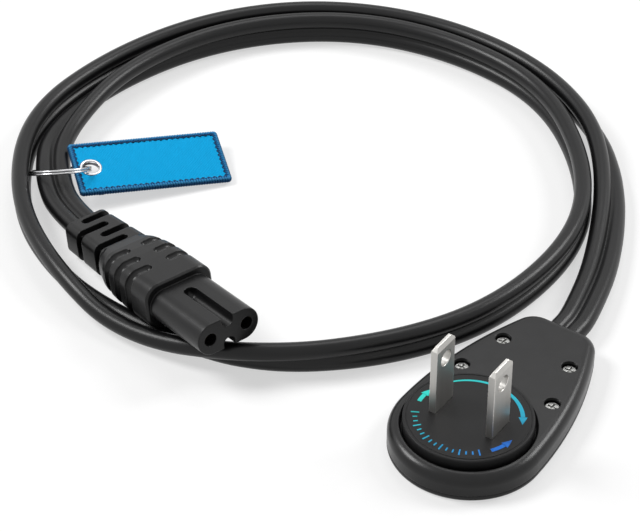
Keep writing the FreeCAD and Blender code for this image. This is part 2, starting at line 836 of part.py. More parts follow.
def make_cord():
    points = route_points()
    path, radii = cord_path(points)
    section = cord_section(points[0], Vector(0, 1, 0), up)
    sweep = Part.BRepOffsetAPI.MakePipeShell(path)
    sweep.setBiNormalMode(up)
    sweep.add(section, False, False)
    sweep.build()
    sweep.makeSolid()
    cord = sweep.shape()
    print("cord length %.1f mm, volume %.0f mm3, section times length %.0f mm3" % (
        path.Length, cord.Volume, Part.Face(section).Area * path.Length))
    print("cord arc radii, mm:", ", ".join("%.1f" % radius for radius in radii))
    return cord


def ring_frame():
    """Middle of the split ring, and its sideways, sloping and axial directions."""
    points = route_points()
    first, on_cord, last, radius = corner_arc(points[-4], points[-3], points[-2])
    travel = unit(Vector(last.x - first.x, last.y - first.y, 0))
    sideways = up.cross(travel)
    lean = math.radians(ring_lean)
    slope = travel * math.cos(lean) + up * math.sin(lean)
    axis = sideways.cross(slope)
    outer = ring_radius + ring_wire_radius
    half_stack = ring_turn_pitch / 2 + ring_wire_radius
    height = ring_floor_gap + outer * math.sin(lean) + half_stack * math.cos(lean)
    middle = Vector(on_cord.x, on_cord.y, height) + sideways * ring_side_shift
    return middle, sideways, slope, axis


def make_split_ring():
    """Two close turns of round wire about the cord and through the tag's eyelet."""
    middle, sideways, slope, axis = ring_frame()
    turns = []
    for sign in (1, -1):
        place = middle + axis * (sign * ring_turn_pitch / 2)
        turns.append(Part.makeTorus(ring_radius, ring_wire_radius, place, axis))
    return turns[0].fuse(turns[1])


def tag_placement():
    """Tag with its eyelet on the ring and a far corner on the floor; local +X runs to that end."""
    middle, sideways, slope, axis = ring_frame()
    angle = math.radians(ring_tag_angle)
    eyelet = middle + sideways * (ring_radius * math.cos(angle)) + slope * (ring_radius * math.sin(angle))
    reach = tag_length - eyelet_from_end
    low_side = tag_width / 2 * math.sin(math.radians(tag_tilt))
    drop = eyelet.z - tag_border_thickness / 2 - tag_floor_gap - low_side
    dip = math.degrees(math.asin(drop / reach))
    turn = Rotation(up, tag_heading).multiply(Rotation(Vector(0, 1, 0), dip))
    turn = turn.multiply(Rotation(Vector(1, 0, 0), tag_tilt))
    return Placement(eyelet, turn)


def tag_slab(inset, thickness):
    """Rounded rectangle of the tag, local origin at its eyelet."""
    low_x = inset - eyelet_from_end
    high_x = tag_length - eyelet_from_end - inset
    half = tag_width / 2 - inset
    corner = tag_corner - inset
    slab = block((low_x, high_x), (-half, half), (-thickness / 2, thickness / 2))
    upright = [e for e in slab.Edges if e.BoundBox.ZLength > thickness / 2]
    return slab.makeFillet(corner, upright)


def place_tag(shape):
    shape.Placement = tag_placement().multiply(shape.Placement)
    return shape


def make_tag_panel():
    panel = tag_slab(tag_border_width, tag_panel_thickness)
    hole = disc(eyelet_bore + eyelet_wall, -tag_panel_thickness, tag_panel_thickness)
    return place_tag(panel.cut(hole))


def make_tag_border():
    rim = tag_slab(0, tag_border_thickness)
    rim = rim.makeFillet(tag_border_round, edges_at_height(rim, tag_border_thickness / 2))
    rim = rim.makeFillet(tag_border_round, edges_at_height(rim, -tag_border_thickness / 2))
    inside = tag_slab(tag_border_width, 2 * tag_border_thickness)
    return place_tag(rim.cut(inside))


def make_eyelet():
    half = tag_panel_thickness / 2
    barrel = tube(eyelet_bore, eyelet_bore + eyelet_wall, -half, half)
    outside = eyelet_bore + eyelet_wall + eyelet_flange
    top = tube(eyelet_bore, outside, half, half + eyelet_flange_thickness)
    bottom = tube(eyelet_bore, outside, -half - eyelet_flange_thickness, -half)
    return place_tag(barrel.fuse([top, bottom]).removeSplitter())


def make_all():
    outer_tab = outer_ring_inside + outer_ring_width
    return {
        "rear_cover": make_rear_cover(),
        "front_cover": make_front_cover(),
        "housing_screws": Part.makeCompound([make_screw(place) for place in screw_places]),
        "outer_contact_spring": make_contact_spring(1, outer_ring_middle),
        "inner_contact_spring": make_contact_spring(-1, inner_ring_middle),
        "plug_lead_outer": make_lead_end(1),
        "plug_lead_inner": make_lead_end(-1),
        "cord_collar": make_collar(),
        "pivot_washer": make_washer(),
        "rotor_disc": make_rotor_disc(),
        "inner_ring_blade": make_blade(1, inner_ring_inside, inner_ring_middle),
        "outer_ring_blade": make_blade(-1, outer_tab, outer_ring_middle),
        "inner_slip_ring": make_slip_ring(inner_ring_inside, inner_ring_width, 1, inner_ring_middle),
        "outer_slip_ring": make_slip_ring(outer_ring_inside, outer_ring_width, -1, outer_ring_middle),
        "inner_ring_rivet": make_rivet(1, inner_ring_middle),
        "outer_ring_rivet": make_rivet(-1, outer_ring_middle),
        "power_cord": make_cord(),
        "connector_body": make_connector_body(),
        "contact_carrier": make_contact_carrier(),
        "socket_contact_far": make_socket_contact(1),
        "socket_contact_near": make_socket_contact(-1),
        "connector_lead_far": make_connector_lead(1),
        "connector_lead_near": make_connector_lead(-1),
        "split_ring": make_split_ring(),
        "tag_panel": make_tag_panel(),
        "tag_border": make_tag_border(),
        "tag_eyelet": make_eyelet(),
    }


os.makedirs("parts", exist_ok=True)
for name, shape in make_all().items():
    shape.exportStep(os.path.join("parts", name + ".step"))
    print("%-22s solids %d valid %s volume %.1f" % (name, len(shape.Solids), shape.isValid(), shape.Volume))
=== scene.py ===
import json
import math

import bmesh
import bpy
import numpy as np
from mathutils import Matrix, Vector


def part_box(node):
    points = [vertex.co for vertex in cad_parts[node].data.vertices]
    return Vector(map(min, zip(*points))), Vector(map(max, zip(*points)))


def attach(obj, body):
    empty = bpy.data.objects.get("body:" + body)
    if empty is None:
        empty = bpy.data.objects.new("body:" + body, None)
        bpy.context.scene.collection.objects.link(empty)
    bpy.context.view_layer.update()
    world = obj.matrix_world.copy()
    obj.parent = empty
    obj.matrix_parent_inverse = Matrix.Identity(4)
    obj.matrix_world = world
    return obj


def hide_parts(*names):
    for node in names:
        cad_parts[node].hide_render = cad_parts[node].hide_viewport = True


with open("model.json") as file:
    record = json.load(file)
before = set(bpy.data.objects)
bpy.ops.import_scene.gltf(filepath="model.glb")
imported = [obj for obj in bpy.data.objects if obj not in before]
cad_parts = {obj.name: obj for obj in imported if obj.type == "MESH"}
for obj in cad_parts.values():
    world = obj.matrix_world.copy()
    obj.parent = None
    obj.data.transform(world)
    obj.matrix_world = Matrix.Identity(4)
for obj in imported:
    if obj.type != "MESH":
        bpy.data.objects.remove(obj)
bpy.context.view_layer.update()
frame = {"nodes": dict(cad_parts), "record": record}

# A flat plug with turning blades, on a flat twin cord that ends in a figure-eight connector,
# with a woven tag on a split ring. Metres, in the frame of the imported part.
ROOT = "plug_and_cord"
ROTOR = "rotor"
mm = 0.001

# Camera
camera_target = Vector((29.24, 54.78, 0.0)) * mm
camera_distance = 522.0 * mm
camera_elevation = math.radians(38.73)
camera_turn = math.radians(55.3)
camera_near = 10.0 * mm
sensor_width = 36.0
focal_pixels = 2487.0
image_width = 640.0

# Twin cord
lobe_radius = 1.9 * mm
web_half = 0.7 * mm
floor_gap = 0.05 * mm
lobe_sides = 16
route_resolution = 14

# The route's control points: x, y, the roll of the flat section in degrees, and the lift above
# where that roll rests on the floor.
route = [
    (0.0270, 0.0000, 0, 0.00095),
    (0.0370, 0.0000, 0, 0.00095),
    (0.0425, 0.0000, 0, 0.00095),
    (0.0628, 0.0056, 8, 0.0001),
    (0.0870, 0.0176, 42, 0.0001),
    (0.1039, 0.0329, 70, 0.0),
    (0.1138, 0.0565, 86, 0.0),
    (0.1136, 0.0843, 90, 0.0),
    (0.1033, 0.1083, 90, 0.0),
    (0.0844, 0.1253, 90, 0.0),
    (0.0587, 0.1344, 90, 0.0),
    (0.0306, 0.1346, 92, 0.0),
    (0.0061, 0.1180, 92, 0.0),
    (-0.0076, 0.0955, 112, 0.0),
    (-0.0120, 0.0727, 178, 0.0),
    (-0.0068, 0.0449, 110, 0.0003),
    (0.0124, 0.0242, 86, 0.0001),
    (0.0352, 0.0131, 84, 0.0),
    (0.0636, 0.0123, 84, 0.0),
    (0.0860, 0.0236, 88, 0.0),
    (0.1061, 0.0459, 90, 0.0),
    (0.1105, 0.0730, 90, 0.0),
    (0.1040, 0.0989, 90, 0.0),
    (0.0847, 0.1198, 88, 0.0),
    (0.0577, 0.1294, 68, 0.0003),
    (0.0311, 0.1274, 12, 0.0013),
    (0.0170, 0.1172, 0, 0.0024),
    (0.00897, 0.10605, 0, 0.00161),
    (0.00212, 0.08535, 0, 0.00456),
]

# Split ring: solid_wire is the wire radius of the solid that it stands for; ring_step and
# ring_end are angles in radians
ring_wire = 0.27 * mm
solid_wire = 0.3 * mm
ring_pitch = 0.55 * mm
ring_samples = 150
ring_wire_sides = 10
ring_step = 0.35
ring_end = 0.3

# Tag: its woven field
tag_corner = 1.0 * mm
field_tuck = 0.5 * mm
field_step = 0.45 * mm
field_thickness = 0.8 * mm
field_crown = 0.12 * mm
field_ripple = 0.03 * mm
ripple_along = 5.0 * mm
ripple_across = 6.5 * mm
eyelet_hole = 2.08 * mm

# Tag: its overlocked border. A stitch wraps the edge from the border's inner line on top to the
# same line below, through points in millimetres: the distance out from that line, and the height.
border_width = 1.4 * mm
stitch_pitch = 0.58 * mm
stitch_radius = 0.27 * mm
stitch_slant = 0.35 * mm
thread_sides = 6
stitch_loop = [
    (0.45, 0.42), (0.60, 0.50), (0.85, 0.47), (1.05, 0.30), (1.13, 0.00),
    (1.05, -0.30), (0.85, -0.47), (0.60, -0.50), (0.45, -0.42),
]
chain_pitch = 1.25 * mm
chain_radius = 0.17 * mm
chain_reach = 0.50 * mm
chain_inset = -0.22 * mm
chain_height = 0.48 * mm

# Thicker stitches where the border's two ends lap, as places along the tag
lap_from = -12.9 * mm
lap_to = -11.7 * mm
lap_growth = 1.3

# Tag: its rolled eyelet, as the radius and height of its upper half in millimetres
eyelet_sides = 48
eyelet_upper = [
    (2.05, 0.44), (2.42, 0.44), (2.45, 0.51), (2.35, 0.60),
    (2.17, 0.65), (1.92, 0.62), (1.83, 0.53), (1.80, 0.37),
]

# Print on the disc: head_lap and the angles of ticks are in degrees, and a shade runs from 0 to 1
# through the ink's colours
print_proud = 0.03 * mm
print_sunk = 0.02 * mm
print_radius = 10.3 * mm
print_step = math.radians(2.0)
line_thin = 0.35 * mm
line_thick = 0.85 * mm
head_width = 1.7 * mm
head_point = 0.05 * mm
head_lap = 0.5
tick_width = 0.30 * mm
tick_long = 1.6 * mm
tick_short = 0.9 * mm
tick_long_every = 3
tick_count = 16
tick_first = 118.0
tick_spacing = 7.0
tick_shades = (0.1, 0.9)

# Floor and light
floor_reach = 2.0
floor_tone = 0.44
floor_glow = 0.58
ambient = 0.15
light_aim = Vector((0.04, 0.06, 0.0))


# Meshes
def mesh_object(name, vertices, faces, body, smooth=True, uvs=None):
    """A mesh piece of these corners and faces that rides on a body; uvs gives one pair a corner."""
    mesh = bpy.data.meshes.new(name)
    mesh.from_pydata([tuple(v) for v in vertices], [], faces)
    mesh.update()
    if uvs is not None:
        layer = mesh.uv_layers.new(name="UVMap")
        for loop in mesh.loops:
            layer.data[loop.index].uv = uvs[loop.vertex_index]
    piece = bpy.data.objects.new(name, mesh)
    bpy.context.scene.collection.objects.link(piece)
    work = bmesh.new()
    work.from_mesh(mesh)
    bmesh.ops.recalc_face_normals(work, faces=work.faces)
    work.to_mesh(mesh)
    work.free()
    for face in mesh.polygons:
        face.use_smooth = smooth
    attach(piece, body)
    return piece


def spline_points(points):
    """The line of a quadratic NURBS spline with these control points."""
    curve = bpy.data.curves.new("route", "CURVE")
    curve.dimensions = "3D"
    spline = curve.splines.new("NURBS")
    spline.points.add(len(points) - 1)
    for knot, point in zip(spline.points, points):
        knot.co = (point[0], point[1], point[2], 1.0)
    spline.order_u = 3
    spline.use_endpoint_u = True
    spline.resolution_u = route_resolution
    carrier = bpy.data.objects.new("route", curve)
    line = bpy.data.meshes.new_from_object(carrier)
    path = [vertex.co.copy() for vertex in line.vertices]
    bpy.data.objects.remove(carrier)
    bpy.data.curves.remove(curve)
    bpy.data.meshes.remove(line)
    return path


def square_to(direction, along):
    """The part of a direction that is square to another, as a unit vector."""
    return (direction - along * direction.dot(along)).normalized()


def tangents(path):
    """The direction of travel at each point of an open path."""
    last = len(path) - 1
    return [(path[min(i + 1, last)] - path[max(i - 1, 0)]).normalized() for i in range(last + 1)]


def transported(path, first):
    """A sideways direction at each point, carried along the path without twist."""
    found = []
    side = first
    for along in tangents(path):
        side = square_to(side, along)
        found.append(side)
    return found


def round_profile(radius, sides):
    """The (across, up) pairs of a round section."""
    angles = [math.tau * j / sides for j in range(sides)]
    return [(radius * math.cos(angle), radius * math.sin(angle)) for angle in angles]


def swept(name, parts, body):
    """One mesh of closed tubes; each part is a path, its sideways directions and its profile."""
    vertices, faces, uvs = [], [], []
    for path, across, profile in parts:
        first = len(vertices)
        sides = len(profile)
        run = 0.0
        for i, along in enumerate(tangents(path)):
            side = square_to(across[i], along)
            up = along.cross(side)
            if i:
                run += (path[i] - path[i - 1]).length
            for j, (a, b) in enumerate(profile):
                vertices.append(path[i] + side * a + up * b)
                uvs.append((run, j / sides))
        for i in range(len(path) - 1):
            here = first + i * sides
            there = here + sides
            for j in range(sides):
                k = (j + 1) % sides
                faces.append((here + j, here + k, there + k, there + j))
        faces.append(tuple(range(first, first + sides)))
        faces.append(tuple(range(len(vertices) - sides, len(vertices))))
    return mesh_object(name, vertices, faces, body, uvs=uvs)


def node_frame(node):
    """A flat node's middle, its three axes from long to short, and its half sizes along them."""
    points = np.array([v.co for v in frame["nodes"][node].data.vertices])
    centred = points - points.mean(axis=0)
    axes = np.linalg.svd(centred, full_matrices=False)[2]
    reach = centred @ axes.T
    low, high = reach.min(axis=0), reach.max(axis=0)
    middle = points.mean(axis=0) + ((low + high) / 2) @ axes
    return Vector(middle), [Vector(a) for a in axes], (high - low) / 2


# Camera
camera_back = Vector((
    -math.sin(camera_turn) * math.cos(camera_elevation),
    -math.cos(camera_turn) * math.cos(camera_elevation),
    math.sin(camera_elevation),
))
camera_data = bpy.data.cameras.new("camera")
camera_data.sensor_fit = "HORIZONTAL"
camera_data.sensor_width = sensor_width
camera_data.lens = sensor_width * focal_pixels / image_width
camera_data.clip_start = camera_near
camera = bpy.data.objects.new("camera", camera_data)
bpy.context.scene.collection.objects.link(camera)
camera.location = camera_target + camera_back * camera_distance
camera.rotation_euler = (-camera_back).to_track_quat("-Z", "Y").to_euler()
bpy.context.scene.camera = camera
bpy.context.scene.view_settings.view_transform = "Standard"


# Cord
def cord_lines():
    """The cord's centre line and the line of one lobe, raised where a twist would meet the floor."""
    centres = []
    for x, y, roll, lift in route:
        height = floor_gap + lobe_radius * (1 + abs(math.sin(math.radians(roll))))
        centres.append(Vector((x, y, height + lift)))
    lobes = []
    for i, centre in enumerate(centres):
        travel = centres[min(i + 1, len(centres) - 1)] - centres[max(i - 1, 0)]
        level = Vector((-travel.y, travel.x, 0.0)).normalized()
        lean = math.radians(route[i][2])
        toward = level * math.cos(lean) + Vector((0, 0, math.sin(lean)))
        lobes.append(centre + toward * lobe_radius)
    centre_line = spline_points(centres)
    lobe_line = spline_points(lobes)
    for centre, lobe in zip(centre_line, lobe_line):
        lowest = centre.z - lobe_radius * (1 + abs((lobe - centre).normalized().z))
        raised = max(floor_gap - lowest, 0.0)
        centre.z += raised
        lobe.z += raised
    return centre_line, lobe_line


def twin_profile():
    """Two round lobes joined by a web."""
    arc_from = math.pi - math.asin(web_half / lobe_radius)
    lobe = []
    for j in range(lobe_sides + 1):
        angle = arc_from - 2 * arc_from * j / lobe_sides
        lobe.append((lobe_radius * (1 + math.cos(angle)), lobe_radius * math.sin(angle)))
    return lobe + [(-a, -b) for a, b in lobe]


cord_path, cord_lobe = cord_lines()
cord_across = [b - a for a, b in zip(cord_path, cord_lobe)]
cord = swept("power_cord_sheath", [(cord_path, cord_across, twin_profile())], ROOT)
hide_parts("power_cord")


# Split ring
def ring_line():
    """Two turns of wire that step over to each other at the ring's foot."""
    middle, axes, half = node_frame("split_ring")
    radius = half[0] - solid_wire
    axis = axes[2]
    down = square_to(Vector((0, 0, -1)), axis)
    across = axis.cross(down)
    path = []
    for i in range(ring_samples + 1):
        turn = ring_end + 2 * (math.tau - ring_end) * i / ring_samples
        step = min(max((turn - math.tau) / ring_step, -1.0), 1.0)
        offset = ring_pitch / 2 * math.sin(step * math.pi / 2)
        spoke = down * math.cos(turn) + across * math.sin(turn)
        path.append(middle + spoke * radius + axis * offset)
    return path, transported(path, axis)


ring = swept("split_ring_wire", [(*ring_line(), round_profile(ring_wire, ring_wire_sides))], ROOT)
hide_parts("split_ring")

# Tag: u runs along it from the eyelet's end, v across it, and w up from its middle
tag_middle, tag_axes, tag_half = node_frame("tag_border")
eyelet_middle = node_frame("tag_eyelet")[0]
tag_up = tag_axes[2] if tag_axes[2].z > 0 else -tag_axes[2]
tag_along = tag_axes[0] if (tag_middle - eyelet_middle).dot(tag_axes[0]) > 0 else -tag_axes[0]
tag_wide = tag_up.cross(tag_along)
eyelet_u = (eyelet_middle - tag_middle).dot(tag_along)
field_u = tag_half[0] - field_tuck
field_v = tag_half[1] - field_tuck


def on_tag(u, v, w):
    """A place on the tag in the frame of the part."""
    return tag_middle + tag_along * u + tag_wide * v + tag_up * w


def field_height(u, v):
    """The cloth's crown between its borders, with a faint ripple."""
    crown = field_crown * (1 - (u / field_u) ** 2) * (1 - (v / field_v) ** 2)
    wave = math.sin(math.tau * u / ripple_along) * math.cos(math.tau * v / ripple_across)
    return crown + field_ripple * wave


def woven_field():
    """The tag's cloth: a grid with a round hole where the eyelet is."""
    count_u = int(2 * field_u / field_step)
    count_v = int(2 * field_v / field_step)
    row = count_v + 1
    flat = []
    for i in range(count_u + 1):
        u = -field_u + 2 * field_u * i / count_u
        flat += [(u, -field_v + 2 * field_v * j / count_v) for j in range(row)]
    away = [math.hypot(u - eyelet_u, v) for u, v in flat]
    faces = []
    rim = set()
    for i in range(count_u):
        for j in range(count_v):
            corner = i * row + j
            cell = (corner, corner + row, corner + row + 1, corner + 1)
            if min(away[k] for k in cell) > eyelet_hole:
                faces.append(cell)
            else:
                rim.update(k for k in cell if away[k] > eyelet_hole)
    places = list(flat)
    for k in rim:
        u, v = flat[k]
        share = eyelet_hole / away[k]
        places[k] = (eyelet_u + (u - eyelet_u) * share, v * share)
    used = sorted({k for face in faces for k in face})
    renamed = {old: new for new, old in enumerate(used)}
    piece = mesh_object(
        "tag_field",
        [on_tag(*places[k], field_height(*places[k])) for k in used],
        [tuple(renamed[k] for k in face) for face in faces],
        ROOT,
        uvs=[flat[k] for k in used],
    )
    thicken = piece.modifiers.new("cloth", "SOLIDIFY")
    thicken.thickness = field_thickness
    thicken.offset = 0.0
    return piece


field = woven_field()
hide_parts("tag_panel")

border_run = 4 * (tag_half[0] + tag_half[1] - 2 * tag_corner) + math.tau * tag_corner


def border_point(run, depth):
    """The place at a run round the tag's edge line, drawn in by a depth."""
    run %= border_run
    inner_u = tag_half[0] - tag_corner
    inner_v = tag_half[1] - tag_corner
    turn_run = tag_corner * math.pi / 2
    corners = (
        (inner_u, -inner_v, -90.0, 2 * inner_u),
        (inner_u, inner_v, 0.0, 2 * inner_v),
        (-inner_u, inner_v, 90.0, 2 * inner_u),
        (-inner_u, -inner_v, 180.0, 2 * inner_v),
    )
    for u, v, heading, straight in corners:
        outward = math.radians(heading)
        if run < straight:
            u += math.sin(outward) * (straight - run)
            v -= math.cos(outward) * (straight - run)
            break
        run -= straight
        if run < turn_run:
            outward += run / tag_corner
            break
        run -= turn_run
    reach = tag_corner - depth
    return u + math.cos(outward) * reach, v + math.sin(outward) * reach


def thread(path, side, radius):
    """A part of swept for a round thread."""
    return path, transported(path, side), round_profile(radius, thread_sides)


def overlock():
    """Slanted stitches side by side round the tag's edge."""
    reach = max(point[0] for point in stitch_loop)
    count = int(border_run / stitch_pitch)
    parts = []
    for k in range(count):
        middle_run = border_run * k / count
        u, v = border_point(middle_run, 0.0)
        lapped = lap_from < u < lap_to and v < 0
        path = []
        for out, height in stitch_loop:
            lead = stitch_slant * (out / reach - 0.5) * (1 if height >= 0 else -1)
            place = border_point(middle_run + lead, border_width - out * mm)
            path.append(on_tag(*place, height * mm))
        side = tag_up.cross(path[2] - path[0]).normalized()
        parts.append(thread(path, side, stitch_radius * (lap_growth if lapped else 1.0)))
    return swept("tag_overlock", parts, ROOT)


def chain_stitch():
    """A zigzag of thread along the border's inner line, on top and below."""
    middle_depth = border_width + chain_inset
    count = int(border_run / chain_pitch)
    parts = []
    for k in range(2 * count):
        swing = chain_reach / 2 if k % 2 == 0 else -chain_reach / 2
        from_run = border_run * k / 2 / count
        first = border_point(from_run, middle_depth + swing)
        second = border_point(from_run + chain_pitch / 2, middle_depth - swing)
        for height in (chain_height, -chain_height):
            path = [on_tag(*first, height), on_tag(*second, height)]
            parts.append(thread(path, tag_up, chain_radius))
    return swept("tag_chain_stitch", parts, ROOT)


border = overlock()
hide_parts("tag_border")
chain = chain_stitch()


def rolled_eyelet():
    """The eyelet's closed profile turned round its axis."""
    profile = eyelet_upper + [(radius, -height) for radius, height in reversed(eyelet_upper)]
    rows = len(profile)
    vertices, faces = [], []
    for i in range(eyelet_sides):
        angle = math.tau * i / eyelet_sides
        spoke = tag_along * math.cos(angle) + tag_wide * math.sin(angle)
        vertices += [eyelet_middle + (spoke * r + tag_up * h) * mm for r, h in profile]
        here = i * rows
        there = (i + 1) % eyelet_sides * rows
        for j in range(rows):
            k = (j + 1) % rows
            faces.append((here + j, here + k, there + k, there + j))
    return mesh_object("tag_rolled_eyelet", vertices, faces, ROOT)


eyelet = rolled_eyelet()
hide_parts("tag_eyelet")

# Print on the disc: a turning arrow, two short arrows, and the ticks of a scale
disc_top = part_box("rotor_disc")[1][2]


def printed(name, shapes):
    """Flat shapes just proud of the disc; each is a list of (inner, outer, shade) rows of points."""
    vertices, faces, uvs = [], [], []
    for rows in shapes:
        first = len(vertices)
        for inner, outer, shade in rows:
            for x, y in (inner, outer):
                vertices.append((x, y, disc_top + print_proud))
                vertices.append((x, y, disc_top - print_sunk))
                uvs += [(shade, 0.5)] * 2
        last = len(rows) - 1
        for i in range(last):
            a, b = first + 4 * i, first + 4 * (i + 1)
            faces.append((a, a + 2, b + 2, b))
            faces.append((a + 1, b + 1, b + 3, a + 3))
            faces.append((a, b, b + 1, a + 1))
            faces.append((a + 2, a + 3, b + 3, b + 2))
        end = first + 4 * last
        faces.append((first, first + 1, first + 3, first + 2))
        faces.append((end, end + 2, end + 3, end + 1))
    return mesh_object(name, vertices, faces, ROTOR, smooth=False, uvs=uvs)


def polar(radius, angle):
    """The place at a radius and an angle round the disc's axis."""
    return radius * math.cos(angle), radius * math.sin(angle)


def band(angles, widths, shades):
    """Rows of a strip along the print's circle, between two angles, two widths and two shades."""
    first, last = math.radians(angles[0]), math.radians(angles[1])
    steps = max(2, int(abs(last - first) / print_step))
    rows = []
    for i in range(steps + 1):
        share = i / steps
        angle = first + (last - first) * share
        half = (widths[0] + (widths[1] - widths[0]) * share) / 2
        shade = shades[0] + (shades[1] - shades[0]) * share
        rows.append((polar(print_radius - half, angle), polar(print_radius + half, angle), shade))
    return rows


def arrow(tail, neck, tip, tail_width, shades):
    """A band from tail to neck, and a head that laps it and narrows to the tip, at three angles."""
    head_from = neck + math.copysign(head_lap, tail - neck)
    return [
        band((tail, neck), (tail_width, line_thick), shades[:2]),
        band((head_from, tip), (head_width, head_point), shades[1:]),
    ]


def ticks():
    """The scale's ticks, some of them long, with shades that run along the scale."""
    half = math.degrees(tick_width / 2 / print_radius)
    marks = []
    for i in range(tick_count):
        angle = tick_first + tick_spacing * i
        length = tick_long if i % tick_long_every == 0 else tick_short
        shade = tick_shades[0] + (tick_shades[1] - tick_shades[0]) * i / (tick_count - 1)
        marks.append(band((angle - half, angle + half), (length, length), (shade, shade)))
    return marks


disc_print = printed("disc_print", [
    *arrow(tail=53, neck=-58, tip=-69, tail_width=line_thin, shades=(0.0, 0.45, 0.48)),
    *arrow(tail=100, neck=87, tip=77, tail_width=line_thick, shades=(0.0, 0.0, 0.0)),
    *arrow(tail=-124, neck=-107, tip=-96, tail_width=line_thick, shades=(1.0, 1.0, 1.0)),
    *ticks(),
])

# Materials
cloud_scale = 400.0
cloud_detail = 4.0
cloud_span = (0.3, 0.7)
gloss_spread = 0.15
grain_detail = 2.0
grain_depth = 0.02 * mm
edge_samples = 6
# A lighter tint along sharp edges: the colour times a gain, where the rounded normal leaves the face's
# own
edge_tint_gain = 2.0
edge_tint_from = 1.0
edge_tint_to = 0.8
weave_depth = 0.06 * mm
weave_bump = 0.6
# Painted shade between the cloth's threads: the share of the colour where they dip
weave_painted_shade = 0.72
weave_waver = 0.4
wave_bands = math.tau / 20
cloth_specular = 0.1
cloth_sheen = 0.04
thread_specular = 0.25
thread_grain = 900.0
thread_bump = 0.8
thread_twist = (4, 0.02, 1)
ink_specular = 0.3
ink_grain = 3000.0
ink_roughness = (0.40, 0.55)


def rgba(colour, gain=1.0):
    """A colour times a gain, for a socket or a ramp."""
    return [min(c * gain, 1.0) for c in colour] + [1.0]


def new_material(name, specular):
    """A material with its nodes, links, shader and texture coordinates."""
    made = bpy.data.materials.new(name)
    made.use_nodes = True
    nodes, links = made.node_tree.nodes, made.node_tree.links
    shader = nodes["Principled BSDF"]
    shader.inputs["Specular IOR Level"].default_value = specular
    return made, nodes, links, shader, nodes.new("ShaderNodeTexCoord")


def stretched(nodes, links, vector, stretch):
    """A texture coordinate scaled along its axes."""
    squeeze = nodes.new("ShaderNodeMapping")
    squeeze.inputs["Scale"].default_value = stretch
    links.new(vector, squeeze.inputs["Vector"])
    return squeeze.outputs["Vector"]


def noise(nodes, links, vector, scale, detail):
    """Noise at a coordinate, from 0 to 1."""
    cloud = nodes.new("ShaderNodeTexNoise")
    cloud.inputs["Scale"].default_value = scale
    cloud.inputs["Detail"].default_value = detail
    links.new(vector, cloud.inputs["Vector"])
    return cloud.outputs["Fac"]


def ramp(nodes, links, value, stops):
    """The colour that a value picks from stops of (position, colour)."""
    tint = nodes.new("ShaderNodeValToRGB")
    elements = tint.color_ramp.elements
    while len(elements) < len(stops):
        elements.new(0.5)
    for element, (position, colour) in zip(elements, stops):
        element.position = position
        element.color = rgba(colour)
    links.new(value, tint.inputs["Fac"])
    return tint.outputs["Color"]


def between(nodes, links, value, low, high):
    """A value from 0 to 1 mapped to a range."""
    span = nodes.new("ShaderNodeMapRange")
    span.inputs["To Min"].default_value = low
    span.inputs["To Max"].default_value = high
    links.new(value, span.inputs["Value"])
    return span.outputs["Result"]


def bumped(nodes, links, shader, height, strength, depth):
    """Bump of a height on the shader."""
    dent = nodes.new("ShaderNodeBump")
    dent.inputs["Strength"].default_value = strength
    dent.inputs["Distance"].default_value = depth
    links.new(height, dent.inputs["Height"])
    links.new(dent.outputs["Normal"], shader.inputs["Normal"])
    return dent


def lightened_edges(nodes, links, dent, edge, tint, colour):
    """Sharp edges that look rounded by a radius, and a tint that is made lighter along them."""
    rounded = nodes.new("ShaderNodeBevel")
    rounded.samples = edge_samples
    rounded.inputs["Radius"].default_value = edge
    links.new(rounded.outputs["Normal"], dent.inputs["Normal"])
    true_face = nodes.new("ShaderNodeNewGeometry")
    agree = nodes.new("ShaderNodeVectorMath")
    agree.operation = "DOT_PRODUCT"
    links.new(rounded.outputs["Normal"], agree.inputs[0])
    links.new(true_face.outputs["Normal"], agree.inputs[1])
    edge_share = nodes.new("ShaderNodeMapRange")
    edge_share.inputs["From Min"].default_value = edge_tint_from
    edge_share.inputs["From Max"].default_value = edge_tint_to
    links.new(agree.outputs["Value"], edge_share.inputs["Value"])
    edge_tinted = nodes.new("ShaderNodeMix")
    edge_tinted.data_type = "RGBA"
    edge_tinted.inputs["B"].default_value = rgba(colour, edge_tint_gain)
    links.new(edge_share.outputs["Result"], edge_tinted.inputs["Factor"])
    links.new(tint, edge_tinted.inputs["A"])
    return edge_tinted.outputs["Result"]


def material(name, colour, spread, roughness, grain, bump, metallic=0.0, specular=0.5,
             stretch=(1, 1, 1), uv=False, edge=0.0):
    """A moulded, drawn or metal surface whose colour, gloss and fine grain vary over the piece."""
    made, nodes, links, shader, place = new_material(name, specular)
    shader.inputs["Metallic"].default_value = metallic
    vector = stretched(nodes, links, place.outputs["UV" if uv else "Object"], stretch)
    cloud = noise(nodes, links, vector, cloud_scale, cloud_detail)
    low, high = roughness * (1 - gloss_spread), roughness * (1 + gloss_spread)
    links.new(between(nodes, links, cloud, low, high), shader.inputs["Roughness"])
    fine = noise(nodes, links, vector, grain, grain_detail)
    dent = bumped(nodes, links, shader, fine, bump, grain_depth)
    tint = ramp(nodes, links, cloud, [
        (cloud_span[0], [c * (1 - spread) for c in colour]),
        (cloud_span[1], [c * (1 + spread) for c in colour]),
    ])
    if edge:
        tint = lightened_edges(nodes, links, dent, edge, tint, colour)
    links.new(tint, shader.inputs["Base Color"])
    return made


